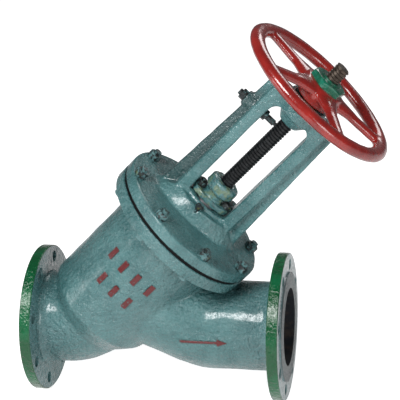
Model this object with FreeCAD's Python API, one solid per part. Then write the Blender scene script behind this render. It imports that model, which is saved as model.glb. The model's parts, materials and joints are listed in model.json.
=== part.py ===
import FreeCAD, Part

# Y-pattern globe valve, DN 150, outside screw and yoke, rising stem.
#
# Frame: origin at the centre of the inlet flange face, +X along the pipe to the outlet, +Z up.
# The stem leans 45 degrees towards the outlet in the XZ plane. Stem parts are drawn upright, with z
# as the distance along the stem axis, and on_stem() then leans them over. Millimetres throughout.
import math
import os
from FreeCAD import Vector, Placement, Rotation

# Pipe and end flanges (DN 150, PN 10)
FACE_TO_FACE = 500.0
BORE_R = 75.0
PIPE_R = 86.0
FLANGE_R = 142.5
FLANGE_T = 24.0
RAISED_FACE_R = 106.0
RAISED_FACE_T = 3.0
FLANGE_BOLTS = 8
FLANGE_PCD_R = 120.0
FLANGE_HOLE_R = 11.0
FLANGE_HUB_R = 93.0
FLANGE_HUB_L = 14.0

# Stem axis
STEM_FOOT_X = 98.0
STEM_LEAN = 45.0

# Body: elbow, seat, chamber and cover flange (z along the stem axis)
ELBOW_R = 90.0
SEAT_WEB_Z = 50.0
CHAMBER_FLOOR_Z = 62.0
CHAMBER_R = 98.0
NECK_R = 112.0
NECK_CONE_Z = 10.0
NECK_FOOT_Z = 47.0
OUTLET_DROP = 22.7
OUTLET_LEVEL_X = 338.5
OUTLET_BEND_R = 90.0
OUTLET_START_X = 150.0
COVER_R = 154.0
COVER_LOW_Z = 271.5
COVER_TOP_Z = 295.5
COVER_BOLTS = 8
COVER_PCD_R = 138.5
COVER_HOLE_R = 7.75
COVER_BOLT_R = 7.0
COVER_NUT_AF = 22.0
COVER_NUT_H = 12.0
COVER_HEAD_H = 7.0
NUT_TURN = 17.0

# Seat ring, disc and stem
SEAT_IN_R = 72.0
SEAT_OUT_R = 84.0
SEAT_TOP_Z = 66.0
DISC_R = 83.5
DISC_LOW_Z = 68.5
DISC_TOP_Z = 86.0
FACING_GAP = 0.05
FACING_TOP_Z = 72.0
FACING_IN_R = 73.0
FACING_OUT_R = 82.0
DISC_HUB_R = 36.0
DISC_HUB_TOP_Z = 110.0
STEM_R = 14.0
STEM_HEAD_R = 19.0
STEM_HEAD_LOW_Z = 80.0
STEM_HEAD_TOP_Z = 90.0
STEM_TOP_Z = 723.0
RETAINER_R = 26.0
RETAINER_AF = 44.0
SHOULDER_R = 21.0
LIFT = 40.0

# Bonnet and yoke, one casting
GASKET_R = 151.0
GASKET_T = 6.0
PLATE_TOP_Z = 323.0
SPIGOT_R = 97.7
SPIGOT_LOW_Z = 289.0
PAD_HALF_LENGTH = 103.0
PAD_HALF_WIDTH = 54.0
PAD_TOP_LENGTH = 64.0
PAD_TOP_WIDTH = 46.0
PAD_TOP_Z = 351.0
BOX_HALF_LENGTH = 50.0
BOX_HALF_WIDTH = 34.0
BOX_TOP_Z = 358.0
BUSH_R = 20.0
BUSH_TOP_Z = 322.0
BUSH_FLANGE_R = 27.0
BUSH_LOW_Z = 284.0
PACKING_R = 24.0
PACKING_LOW_Z = 322.0
PACKING_RINGS = 4
PACKING_H = 8.5
ARM_IN_X = 44.0
ARM_STEP_X = 67.0
ARM_FOOT_X = 93.0
ARM_HEAD_X = 80.0
ARM_TOE = 8.0
ARM_RIB_HALF = 8.0
ARM_FLANGE_HALF = 22.0
ARCH_SPRING_Z = 576.0
ARCH_LOW_Z = 597.0
ARCH_SHOULDER_Z = 612.0
ARCH_TOP_Z = 628.0
ARCH_TOP_X = 58.0
HUB_R = 41.0
HUB_FOOT_R = 20.0
HUB_LOW_Z = 577.0
HUB_TOP_Z = 636.0

# Yoke sleeve, its thrust washers and ring nut
SLEEVE_R = 25.0
SLEEVE_CLEARANCE = 0.05
SLEEVE_LOW_Z = 597.0
SLEEVE_FLANGE_R = 32.5
SLEEVE_FLANGE_LOW_Z = 614.0
SLEEVE_FLANGE_TOP_Z = 622.0
SLEEVE_NECK_R = 24.0
SLEEVE_TOP_Z = 694.0
SLEEVE_TOP_R = 20.0
RING_NUT_R = 33.0
WASHER_T = 2.0
WHEEL_SEAT_Z = 640.0

# Handwheel
RIM_Z = 661.0
RIM_R = 151.5
RIM_HALF_WIDTH = 15.0
RIM_HALF_HEIGHT = 12.0
WHEEL_HUB_TOP_Z = 678.0
WHEEL_HUB_R = 40.0
WHEEL_HUB_MID_R = 46.0
WHEEL_HUB_LOW_R = 36.0
SPOKES = 5
SPOKE_START = 11.0
SPOKE_IN_X = 30.0
WHEEL_NUT_AF = 65.0
WHEEL_NUT_TOP_Z = 691.0
KEY_W = 8.0

# Gland and guide screw
GLAND_STUD_X = 33.0
GLAND_STUD_R = 6.0
GLAND_STUD_LOW_Z = 330.0
GLAND_STUD_TOP_Z = 386.0
GLAND_FLANGE_LOW_Z = 361.0
GLAND_FLANGE_TOP_Z = 372.0
GLAND_FLANGE_LENGTH = 43.0
GLAND_FLANGE_WIDTH = 27.0
GLAND_NECK_R = 22.0
GLAND_NECK_TOP_Z = 384.0
GLAND_COLLAR_R = 31.0
GLAND_COLLAR_LOW_Z = 390.0
GLAND_COLLAR_TOP_Z = 411.0
GLAND_NUT_AF = 20.0
GLAND_NUT_H = 11.0
GUIDE_Z = 558.0
GUIDE_R = 6.0
GUIDE_OUT_X = 104.0
GUIDE_BOSS_R = 15.0
GUIDE_BOSS_X = 89.0
GUIDE_TIP_X = 17.0
GUIDE_NUT_AF = 19.0
KEYWAY_HALF = 4.0
KEYWAY_X = 10.0
KEYWAY_LOW_Z = 505.0
KEYWAY_TOP_Z = 578.0

# Grease port plug on the stuffing box pad
PLUG_X = -7.0
PLUG_Y = -42.0
PLUG_AF = 14.0
PLUG_R = 5.0
PLUG_DEPTH = 14.0

# Raised marks: two rows round the neck (height on the stem axis, first angle, count), and a flow arrow
MARK_H = 2.5
MARK_W = 11.0
MARK_L = 26.0
MARK_STEP = 17.0
MARK_ROWS = ((189.0, -124.0, 4), (140.0, -114.0, 3))
ARROW_TAIL_X = 302.0
ARROW_NECK_X = 374.0
ARROW_TIP_X = 394.0
ARROW_SHAFT_W = 5.0
ARROW_HEAD_W = 15.0

os.makedirs("parts", exist_ok=True)
UP = Vector(0, 0, 1)
LEAN = Placement(Vector(STEM_FOOT_X, 0, 0), Rotation(Vector(0, 1, 0), 90.0 - STEM_LEAN))


def on_stem(shape):
    """Lean an upright shape over onto the stem axis."""
    leaned = shape.copy()
    leaned.Placement = LEAN.multiply(leaned.Placement)
    return leaned


def save(name, shape):
    """Write one node and say what it holds."""
    solids = shape.Solids
    joined = solids[0] if len(solids) == 1 else Part.makeCompound(solids)
    joined.exportStep(f"parts/{name}.step")
    print(f"{name:20s} solids {len(solids):2d}  volume {joined.Volume / 1000:9.1f} cm3  valid {joined.isValid()}")


def disc(r, low, high):
    """Solid cylinder about z, from low to high."""
    return Part.makeCylinder(r, high - low, Vector(0, 0, low))


def ring(r_out, r_in, low, high):
    """Hollow cylinder about z."""
    return disc(r_out, low, high).cut(disc(r_in, low - 1, high + 1))


def cone(r_low, r_high, low, high):
    return Part.makeCone(r_low, r_high, high - low, Vector(0, 0, low))


def block(x0, x1, y0, y1, z0, z1):
    return Part.makeBox(x1 - x0, y1 - y0, z1 - z0, Vector(x0, y0, z0))


def polar(r, count, start):
    """Points of a bolt circle."""
    step = 360.0 / count
    angles = [math.radians(start + step * i) for i in range(count)]
    return [Vector(r * math.cos(a), r * math.sin(a), 0) for a in angles]


def hexagon(across_flats, low, high, hole_r=0.0, turn=0.0):
    """Hexagon nut with chamfered corners, flats at a chosen turn."""
    corner = across_flats / math.sqrt(3)
    points = [Vector(corner * math.cos(math.radians(turn + 60 * i)),
                     corner * math.sin(math.radians(turn + 60 * i)), low) for i in range(6)]
    prism = Part.Face(Part.makePolygon(points + points[:1])).extrude(UP * (high - low))
    slope = (corner - across_flats / 2) * 0.6
    cap = cone(corner, corner - 1.9 * slope, high - slope, high)
    barrel = disc(corner, low, high - slope).fuse(cap)
    nut = prism.common(barrel)
    if hole_r:
        nut = nut.cut(disc(hole_r, low - 1, high + 1))
    return nut


def copies(shape, points):
    """The same solid at each point."""
    placed = []
    for point in points:
        each = shape.copy()
        each.translate(point)
        placed.append(each)
    return Part.makeCompound(placed)


def bar(r, start, end):
    """Round bar between two points."""
    run = end.sub(start)
    return Part.makeCylinder(r, run.Length, start, run)


def bent_tube(r, start, corner, end, bend_r):
    """Round bar along two runs in the XZ plane, joined by a tangent arc of a torus."""
    into = corner.sub(start).normalize()
    away = end.sub(corner).normalize()
    turn = into.getAngle(away)
    reach = bend_r * math.tan(turn / 2)
    first = corner.sub(into * reach)
    last = corner.add(away * reach)
    inward = away.sub(into * into.dot(away)).normalize()
    section = Part.Face(Part.Wire(Part.makeCircle(r, first, into)))
    elbow = section.revolve(first.add(inward * bend_r), into.cross(inward), math.degrees(turn))
    return bar(r, start, first).fuse([elbow, bar(r, last, end)])


def stem_point(z, x=0.0):
    """Point in the leaning frame, in the plane of the valve."""
    return LEAN.multVec(Vector(x, 0, z))


def inlet_run(r, top_z):
    """Inlet pipe and the elbow that brings it onto the stem axis."""
    return bent_tube(r, Vector(0, 0, 0), Vector(STEM_FOOT_X, 0, 0), stem_point(top_z), ELBOW_R)


def outlet_run(r, end_x):
    """Passage from the chamber down to the level outlet pipe."""
    rise = (OUTLET_LEVEL_X - OUTLET_START_X) * math.tan(math.radians(OUTLET_DROP))
    start = Vector(OUTLET_START_X, 0, rise)
    return bent_tube(r, start, Vector(OUTLET_LEVEL_X, 0, 0), Vector(end_x, 0, 0), OUTLET_BEND_R)


def end_flange():
    """Pipe flange with its raised face towards -X at x = 0."""
    x_axis = Vector(1, 0, 0)
    plate = Part.makeCylinder(FLANGE_R, FLANGE_T - RAISED_FACE_T, Vector(RAISED_FACE_T, 0, 0), x_axis)
    plate = plate.makeChamfer(1.5, [e for e in plate.Edges if e.Closed and len(e.Vertexes) == 1])
    face = Part.makeCylinder(RAISED_FACE_R, RAISED_FACE_T, Vector(0, 0, 0), x_axis)
    hub = Part.makeCone(FLANGE_HUB_R, PIPE_R, FLANGE_HUB_L, Vector(FLANGE_T, 0, 0), x_axis)
    flange = plate.fuse([face, hub])
    for hole in polar(FLANGE_PCD_R, FLANGE_BOLTS, 180.0 / FLANGE_BOLTS):
        at = Vector(-1, hole.x, hole.y)
        flange = flange.cut(Part.makeCylinder(FLANGE_HOLE_R, FLANGE_T + 2, at, x_axis))
    return flange


def mirrored_to_outlet(shape):
    return shape.mirror(Vector(FACE_TO_FACE / 2, 0, 0), Vector(1, 0, 0))


def neck():
    """Outside of the chamber and its cover flange."""
    foot = cone(PIPE_R, NECK_R, NECK_CONE_Z, NECK_FOOT_Z)
    barrel = disc(NECK_R, NECK_FOOT_Z, COVER_LOW_Z)
    flare = cone(NECK_R, NECK_R + 8, COVER_LOW_Z - 10, COVER_LOW_Z)
    cover = disc(COVER_R, COVER_LOW_Z, COVER_TOP_Z)
    cover = cover.makeFillet(2.5, [e for e in cover.Edges if abs(e.BoundBox.ZLength) < 0.1])
    return foot.fuse([barrel, flare, cover])


def cover_circle():
    return polar(COVER_PCD_R, COVER_BOLTS, 180.0 / COVER_BOLTS)


def body():
    outside = inlet_run(PIPE_R, SEAT_WEB_Z - 5)
    outside = outside.fuse([on_stem(neck()), outlet_run(PIPE_R, FACE_TO_FACE - 5)])
    outside = outside.fuse([end_flange(), mirrored_to_outlet(end_flange())])
    bolts = copies(disc(COVER_HOLE_R, COVER_LOW_Z - 5, COVER_TOP_Z + 1), cover_circle())
    chamber = disc(CHAMBER_R, CHAMBER_FLOOR_Z, COVER_TOP_Z + 1)
    pocket = disc(SEAT_OUT_R, SEAT_WEB_Z, CHAMBER_FLOOR_Z + 1)
    below_floor = disc(NECK_R * 3, CHAMBER_FLOOR_Z - 400, CHAMBER_FLOOR_Z)
    outlet_bore = outlet_run(BORE_R, FACE_TO_FACE + 1).cut(on_stem(below_floor))
    inlet_bore = inlet_run(BORE_R, SEAT_WEB_Z + 1)
    mouth = bar(BORE_R, Vector(-1, 0, 0), Vector(1, 0, 0))
    hollow = [inlet_bore, mouth, on_stem(chamber), on_stem(pocket), outlet_bore, on_stem(bolts)]
    casting = outside
    for space in hollow:
        casting = casting.cut(space)
    return casting


def neck_marks():
    """Plain raised bars, two rows of a generic rating mark, on the near side of the neck."""
    skin = ring(NECK_R + MARK_H, NECK_R, 100, 240)
    bars = []
    for z, first, count in MARK_ROWS:
        for i in range(count):
            bar = block(NECK_R - 8, NECK_R + 8, -MARK_W / 2, MARK_W / 2, z - MARK_L / 2, z + MARK_L / 2)
            bar.rotate(Vector(0, 0, 0), UP, first + MARK_STEP * i)
            bars.append(bar.common(skin))
    return [on_stem(bar) for bar in bars]


def flow_arrow():
    """Raised arrow on the near side of the outlet pipe."""
    shaft = block(ARROW_TAIL_X, ARROW_NECK_X, -PIPE_R - 20, 0, -ARROW_SHAFT_W / 2, ARROW_SHAFT_W / 2)
    tip = [Vector(ARROW_NECK_X, 0, -ARROW_HEAD_W / 2), Vector(ARROW_TIP_X, 0, 0),
           Vector(ARROW_NECK_X, 0, ARROW_HEAD_W / 2)]
    head = Part.Face(Part.makePolygon(tip + tip[:1])).extrude(Vector(0, -PIPE_R - 20, 0))
    x_axis = Vector(1, 0, 0)
    arrow = shaft.fuse(head).removeSplitter()
    raised = arrow.common(outlet_run(PIPE_R + MARK_H, FACE_TO_FACE - 50))
    return raised.cut(outlet_run(PIPE_R, FACE_TO_FACE - 50)).Solids[0]


def slab(points, half):
    """Closed outline in the xz plane, thickened to both sides."""
    outline = [Vector(x, -half, z) for x, z in points]
    return Part.Face(Part.makePolygon(outline + outline[:1])).extrude(Vector(0, 2 * half, 0))


def arm():
    """One yoke arm on the +x side: thick flange beside the stem, thin rib outside."""
    low = PLATE_TOP_Z - 4
    rib = slab([(ARM_IN_X, low), (ARM_FOOT_X, low), (ARM_HEAD_X, ARCH_SHOULDER_Z),
                (ARCH_TOP_X, ARCH_TOP_Z), (ARM_IN_X, ARCH_TOP_Z)], ARM_RIB_HALF)
    flange = block(ARM_IN_X, ARM_STEP_X, -ARM_FLANGE_HALF, ARM_FLANGE_HALF, low, ARCH_SHOULDER_Z)
    flange = flange.makeFillet(3.0, [e for e in flange.Edges if e.BoundBox.ZLength > 100])
    shoe = slab([(ARM_IN_X - ARM_TOE, low), (ARM_STEP_X, low), (ARM_STEP_X, BOX_TOP_Z + 2),
                 (ARM_IN_X, BOX_TOP_Z + 2), (ARM_IN_X - ARM_TOE, PAD_TOP_Z)], ARM_FLANGE_HALF)
    return rib.fuse([flange, shoe])


def arch():
    """Head of the yoke, from arm to arm, with an arc at each springing."""
    outer = slab([(-ARM_STEP_X, ARCH_SPRING_Z), (-ARM_STEP_X, ARCH_SHOULDER_Z), (-ARCH_TOP_X, ARCH_TOP_Z),
                  (ARCH_TOP_X, ARCH_TOP_Z), (ARM_STEP_X, ARCH_SHOULDER_Z), (ARM_STEP_X, ARCH_SPRING_Z)],
                 ARM_FLANGE_HALF)
    rise = ARCH_LOW_Z - ARCH_SPRING_Z
    flat = ARM_IN_X - rise
    opening = block(-ARM_IN_X, ARM_IN_X, -50, 50, ARCH_SPRING_Z - 30, ARCH_SPRING_Z)
    opening = opening.fuse(block(-flat, flat, -50, 50, ARCH_SPRING_Z - 30, ARCH_LOW_Z))
    for side in (-1, 1):
        corner = Part.makeCylinder(rise, 100, Vector(side * flat, -50, ARCH_SPRING_Z), Vector(0, 1, 0))
        opening = opening.fuse(corner)
    return outer.cut(opening)


def oval(half_length, half_width, low, high):
    ellipse = Part.Ellipse(Vector(0, 0, low), half_length, half_width).toShape()
    return Part.Face(Part.Wire(ellipse)).extrude(UP * (high - low))


def bonnet():
    plate = disc(COVER_R, COVER_TOP_Z + GASKET_T, PLATE_TOP_Z)
    plate = plate.makeFillet(2.5, [e for e in plate.Edges if abs(e.BoundBox.ZLength) < 0.1])
    spigot = disc(SPIGOT_R, SPIGOT_LOW_Z, PLATE_TOP_Z - 5)
    foot = Part.Ellipse(Vector(0, 0, PLATE_TOP_Z - 1), PAD_HALF_LENGTH, PAD_HALF_WIDTH).toShape()
    top = Part.Ellipse(Vector(0, 0, PAD_TOP_Z), PAD_TOP_LENGTH, PAD_TOP_WIDTH).toShape()
    pad = Part.makeLoft([Part.Wire(foot), Part.Wire(top)], True)
    box = oval(BOX_HALF_LENGTH, BOX_HALF_WIDTH, PAD_TOP_Z - 4, BOX_TOP_Z)
    right = arm()
    left = right.mirror(Vector(0, 0, 0), Vector(1, 0, 0))
    hub = disc(HUB_R, ARCH_LOW_Z, HUB_TOP_Z)
    hub = hub.fuse(cone(HUB_FOOT_R, HUB_R - 5, HUB_LOW_Z, ARCH_LOW_Z + 1))
    boss = bar(GUIDE_BOSS_R, Vector(-GUIDE_BOSS_X, 0, GUIDE_Z), Vector(-ARM_IN_X, 0, GUIDE_Z))
    casting = plate.fuse([spigot, pad, box, right, left, arch(), hub, boss])
    cuts = [disc(BUSH_R, SPIGOT_LOW_Z - 1, BUSH_TOP_Z + 1),
            disc(PACKING_R, PACKING_LOW_Z, BOX_TOP_Z + 1),
            disc(STEM_R + 2, HUB_LOW_Z - 1, SLEEVE_LOW_Z + 1),
            disc(SLEEVE_R, SLEEVE_LOW_Z - 1, HUB_TOP_Z),
            disc(RING_NUT_R, SLEEVE_FLANGE_LOW_Z - WASHER_T, HUB_TOP_Z + 1)]
    cuts += copies(disc(COVER_HOLE_R, COVER_TOP_Z, PLATE_TOP_Z + 1), cover_circle()).Solids
    cuts += [disc(GLAND_STUD_R, GLAND_STUD_LOW_Z, BOX_TOP_Z + 1).translated(Vector(side * GLAND_STUD_X, 0, 0))
             for side in (-1, 1)]
    cuts.append(bar(GUIDE_R, Vector(-110, 0, GUIDE_Z), Vector(-30, 0, GUIDE_Z)))
    cuts.append(disc(PLUG_R, PAD_TOP_Z - PLUG_DEPTH, PAD_TOP_Z + 1).translated(Vector(PLUG_X, PLUG_Y, 0)))
    for each in cuts:
        casting = casting.cut(each)
    return casting


def bonnet_gasket():
    sheet = ring(GASKET_R, SPIGOT_R + 0.3, COVER_TOP_Z, COVER_TOP_Z + GASKET_T)
    return sheet.cut(copies(disc(COVER_HOLE_R, COVER_TOP_Z - 1, PLATE_TOP_Z), cover_circle()))


def box_plug():
    """Plug of the sealing-grease port, beside the stuffing box."""
    plug = hexagon(PLUG_AF, PAD_TOP_Z, PAD_TOP_Z + PLUG_AF / 2)
    plug = plug.fuse(disc(PLUG_R, PAD_TOP_Z - PLUG_DEPTH, PAD_TOP_Z))
    return plug.translated(Vector(PLUG_X, PLUG_Y, 0))


def seat_ring():
    return ring(SEAT_OUT_R, SEAT_IN_R, SEAT_WEB_Z, SEAT_TOP_Z)


def valve_disc():
    plate = disc(DISC_R, DISC_LOW_Z, DISC_TOP_Z)
    hub = disc(DISC_HUB_R, DISC_TOP_Z, DISC_HUB_TOP_Z)
    fairing = cone(DISC_HUB_R + 12, DISC_HUB_R, DISC_TOP_Z, DISC_TOP_Z + 10)
    solid = plate.fuse([hub, fairing])
    solid = solid.cut(disc(RETAINER_R, STEM_HEAD_TOP_Z + 0.5, DISC_HUB_TOP_Z + 1))
    solid = solid.cut(disc(STEM_HEAD_R + 0.5, STEM_HEAD_LOW_Z, STEM_HEAD_TOP_Z + 1))
    return solid.cut(ring(FACING_OUT_R, FACING_IN_R, DISC_LOW_Z - 1, FACING_TOP_Z))


def disc_facing():
    return ring(FACING_OUT_R, FACING_IN_R, SEAT_TOP_Z + FACING_GAP, FACING_TOP_Z)


def disc_retainer():
    """Threaded ring that holds the stem's head in the disc."""
    ring_part = ring(RETAINER_R, STEM_R + 0.5, STEM_HEAD_TOP_Z + 0.5, DISC_HUB_TOP_Z)
    top = hexagon(RETAINER_AF, DISC_HUB_TOP_Z, DISC_HUB_TOP_Z + 9, STEM_R + 0.5)
    return ring_part.fuse(top)


def stem():
    """Stem with its head, backseat shoulder, plain thread envelope and guide keyway."""
    shoulder_z = BUSH_LOW_Z - LIFT
    rod = disc(STEM_R, STEM_HEAD_LOW_Z + 2, STEM_TOP_Z)
    rod = rod.makeChamfer(2.0, [e for e in rod.Edges if e.BoundBox.ZMin > STEM_TOP_Z - 1])
    head = disc(STEM_HEAD_R, STEM_HEAD_LOW_Z + 0.5, STEM_HEAD_TOP_Z)
    shoulder = cone(STEM_R, SHOULDER_R, shoulder_z - 14, shoulder_z - 6)
    shoulder = shoulder.fuse(disc(SHOULDER_R, shoulder_z - 6, shoulder_z))
    keyway = block(-STEM_R - 1, -KEYWAY_X, -KEYWAY_HALF, KEYWAY_HALF, KEYWAY_LOW_Z, KEYWAY_TOP_Z)
    return rod.fuse([head, shoulder]).cut(keyway)


def backseat_bush():
    flange = ring(BUSH_FLANGE_R, STEM_R + 0.1, BUSH_LOW_Z, SPIGOT_LOW_Z)
    return flange.fuse(ring(BUSH_R, STEM_R + 0.1, SPIGOT_LOW_Z, BUSH_TOP_Z))


def packing_rings():
    rings = []
    for i in range(PACKING_RINGS):
        low = PACKING_LOW_Z + i * PACKING_H
        rings.append(ring(PACKING_R, STEM_R + 0.1, low, low + PACKING_H))
    return Part.makeCompound(rings)


def gland_follower():
    low = PACKING_LOW_Z + PACKING_RINGS * PACKING_H
    return ring(PACKING_R - 0.2, STEM_R + 0.3, low, GLAND_FLANGE_LOW_Z)


def gland_flange():
    """Oval bridge pulled down by the two studs, with a round collar about the stem."""
    plate = oval(GLAND_FLANGE_LENGTH, GLAND_FLANGE_WIDTH, GLAND_FLANGE_LOW_Z, GLAND_FLANGE_TOP_Z)
    neck_low = disc(GLAND_NECK_R, GLAND_FLANGE_TOP_Z, GLAND_NECK_TOP_Z)
    flare = cone(GLAND_NECK_R, GLAND_COLLAR_R, GLAND_NECK_TOP_Z, GLAND_COLLAR_LOW_Z)
    collar = disc(GLAND_COLLAR_R, GLAND_COLLAR_LOW_Z, GLAND_COLLAR_TOP_Z)
    collar = collar.makeFillet(6.0, [e for e in collar.Edges if e.BoundBox.ZMin > GLAND_COLLAR_TOP_Z - 1])
    bridge = plate.fuse([neck_low, flare, collar]).cut(disc(STEM_R + 0.6, 300, 500))
    for side in (-1, 1):
        hole = disc(GLAND_STUD_R + 0.7, 300, GLAND_FLANGE_TOP_Z + 1)
        bridge = bridge.cut(hole.translated(Vector(side * GLAND_STUD_X, 0, 0)))
    return bridge


def gland_studs():
    stud = disc(GLAND_STUD_R, GLAND_STUD_LOW_Z, GLAND_STUD_TOP_Z)
    stud = stud.makeChamfer(1.2, [e for e in stud.Edges if e.BoundBox.ZMin > GLAND_STUD_TOP_Z - 1])
    return copies(stud, [Vector(side * GLAND_STUD_X, 0, 0) for side in (-1, 1)])


def gland_nuts():
    nut = hexagon(GLAND_NUT_AF, GLAND_FLANGE_TOP_Z, GLAND_FLANGE_TOP_Z + GLAND_NUT_H, GLAND_STUD_R, 30.0)
    return copies(nut, [Vector(side * GLAND_STUD_X, 0, 0) for side in (-1, 1)])


def yoke_sleeve():
    """Threaded sleeve that the handwheel turns and the stem climbs through."""
    turning_r = SLEEVE_R - SLEEVE_CLEARANCE
    lower = disc(turning_r, SLEEVE_LOW_Z + 0.3, SLEEVE_FLANGE_LOW_Z)
    flange = disc(SLEEVE_FLANGE_R, SLEEVE_FLANGE_LOW_Z, SLEEVE_FLANGE_TOP_Z)
    upper = disc(SLEEVE_NECK_R, SLEEVE_FLANGE_TOP_Z, WHEEL_SEAT_Z)
    top = disc(SLEEVE_TOP_R, WHEEL_SEAT_Z, SLEEVE_TOP_Z)
    key_slot = block(SLEEVE_TOP_R - 4, SLEEVE_TOP_R + 1, -KEY_W / 2, KEY_W / 2, WHEEL_SEAT_Z, WHEEL_HUB_TOP_Z)
    sleeve = lower.fuse([flange, upper, top])
    return sleeve.cut(disc(STEM_R + SLEEVE_CLEARANCE, 500, 800)).cut(key_slot)


def thrust_washers():
    lower = ring(RING_NUT_R - 0.3, SLEEVE_R + 0.4, SLEEVE_FLANGE_LOW_Z - WASHER_T, SLEEVE_FLANGE_LOW_Z - 0.05)
    upper = ring(RING_NUT_R - 0.3, SLEEVE_NECK_R + 0.4, SLEEVE_FLANGE_TOP_Z + 0.05, SLEEVE_FLANGE_TOP_Z + WASHER_T)
    return Part.makeCompound([lower, upper])


def ring_nut():
    """Threaded ring, with two spanner slots, that keeps the sleeve in the yoke hub."""
    nut = ring(RING_NUT_R, SLEEVE_NECK_R + 0.4, SLEEVE_FLANGE_TOP_Z + WASHER_T, HUB_TOP_Z + 1.5)
    slot = block(-40, 40, -3, 3, HUB_TOP_Z - 2, HUB_TOP_Z + 3)
    return nut.cut(slot)


def oval_along_x(x, z, half_width, half_height):
    """Oval wire that faces along the spoke."""
    wire = Part.Ellipse(Vector(0, 0, 0), half_width, half_height).toShape()
    wire.Placement = Placement(Vector(x, 0, z), Rotation(Vector(0, 1, 0), 90.0).multiply(Rotation(UP, 90.0)))
    return Part.Wire(wire)


def spoke():
    """Tapered oval spoke that rises from the rim to the hub, flared at both ends."""
    stations = ((SPOKE_IN_X, 4, 16, 9), (RIM_R - 2, 0, 11, 8))
    at_hub = ((SPOKE_IN_X + 4, 4, 29, 12), (SPOKE_IN_X + 48, 3, 12.5, 8.5))
    at_rim = ((RIM_R - 36, 1, 12, 8), (RIM_R - 8, 0, 24, 8.5))
    lofts = [Part.makeLoft([oval_along_x(x, RIM_Z + up, wide, thick) for x, up, wide, thick in run], True)
             for run in (stations, at_hub, at_rim)]
    return lofts[0].fuse(lofts[1:])


def handwheel():
    section = Part.Ellipse(Vector(0, 0, 0), RIM_HALF_WIDTH, RIM_HALF_HEIGHT).toShape()
    section.Placement = Placement(Vector(RIM_R, 0, RIM_Z), Rotation(Vector(1, 0, 0), 90.0))
    rim = Part.Face(Part.Wire(section)).revolve(Vector(0, 0, 0), UP, 360)
    low = cone(WHEEL_HUB_LOW_R, WHEEL_HUB_MID_R, WHEEL_SEAT_Z, RIM_Z - 4)
    high = cone(WHEEL_HUB_MID_R, WHEEL_HUB_R, RIM_Z - 4, WHEEL_HUB_TOP_Z)
    wheel = low.fuse([high])
    spokes = []
    for i in range(SPOKES):
        each = spoke()
        each.rotate(Vector(0, 0, 0), UP, SPOKE_START + 360.0 / SPOKES * i)
        spokes.append(each)
    wheel = wheel.fuse(spokes + [rim])
    wheel = wheel.cut(disc(SLEEVE_TOP_R, WHEEL_SEAT_Z - 10, WHEEL_HUB_TOP_Z + 10))
    keyway = block(0, SLEEVE_TOP_R + 3, -KEY_W / 2, KEY_W / 2, WHEEL_SEAT_Z, WHEEL_HUB_TOP_Z + 1)
    return wheel.cut(keyway)


def wheel_key():
    return block(SLEEVE_TOP_R - 4, SLEEVE_TOP_R + 3, -KEY_W / 2, KEY_W / 2, WHEEL_SEAT_Z + 2, WHEEL_HUB_TOP_Z - 2)


def wheel_nut():
    return hexagon(WHEEL_NUT_AF, WHEEL_HUB_TOP_Z, WHEEL_NUT_TOP_Z, SLEEVE_TOP_R, 15.0)


def cover_bolts():
    """Hexagon bolts, heads under the body's cover flange."""
    high = PLATE_TOP_Z + COVER_NUT_H + 6
    shank = disc(COVER_BOLT_R, COVER_LOW_Z, high)
    shank = shank.makeChamfer(1.3, [e for e in shank.Edges if e.BoundBox.ZMin > high - 1])
    head = hexagon(COVER_NUT_AF, COVER_LOW_Z - COVER_HEAD_H, COVER_LOW_Z)
    head = head.mirror(Vector(0, 0, COVER_LOW_Z - COVER_HEAD_H / 2), UP)
    return copies(shank.fuse(head), cover_circle())


def cover_nuts():
    nuts = []
    for i, point in enumerate(cover_circle()):
        nut = hexagon(COVER_NUT_AF, PLATE_TOP_Z, PLATE_TOP_Z + COVER_NUT_H, COVER_BOLT_R, NUT_TURN * i)
        nuts.append(nut.translated(point))
    return Part.makeCompound(nuts)


def guide_screw():
    """Screw whose tip slides in the stem's keyway, so that the stem rises without turning."""
    shank = bar(GUIDE_R, Vector(-GUIDE_OUT_X, 0, GUIDE_Z), Vector(-GUIDE_TIP_X, 0, GUIDE_Z))
    tip = bar(KEYWAY_HALF - 0.3, Vector(-GUIDE_TIP_X, 0, GUIDE_Z), Vector(-KEYWAY_X - 0.5, 0, GUIDE_Z))
    return shank.fuse(tip)


def guide_nuts():
    outer = hexagon(GUIDE_NUT_AF, 0, 10, GUIDE_R)
    outer.Placement = Placement(Vector(-GUIDE_BOSS_X, 0, GUIDE_Z), Rotation(Vector(0, 1, 0), -90.0))
    inner = hexagon(GUIDE_NUT_AF, 0, 8, GUIDE_R)
    inner.Placement = Placement(Vector(-ARM_IN_X, 0, GUIDE_Z), Rotation(Vector(0, 1, 0), 90.0))
    return Part.makeCompound([outer, inner])


def main():
    save("body", body())
    save("cast_marks", Part.makeCompound(neck_marks() + [flow_arrow()]))
    leaning = {
        "seat_ring": seat_ring(), "valve_disc": valve_disc(), "disc_facing": disc_facing(),
        "disc_retainer": disc_retainer(), "stem": stem(), "backseat_bush": backseat_bush(),
        "bonnet_gasket": bonnet_gasket(),
        "bonnet_yoke": bonnet(), "packing_rings": packing_rings(), "gland_follower": gland_follower(),
        "gland_flange": gland_flange(), "gland_studs": gland_studs(), "gland_nuts": gland_nuts(),
        "stuffing_box_plug": box_plug(), "yoke_sleeve": yoke_sleeve(), "thrust_washers": thrust_washers(),
        "sleeve_ring_nut": ring_nut(), "handwheel": handwheel(), "wheel_key": wheel_key(),
        "wheel_nut": wheel_nut(), "bonnet_bolts": cover_bolts(), "bonnet_nuts": cover_nuts(),
        "guide_screw": guide_screw(), "guide_screw_nuts": guide_nuts()}
    for name, shape in leaning.items():
        save(name, on_stem(shape))


main()
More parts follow.
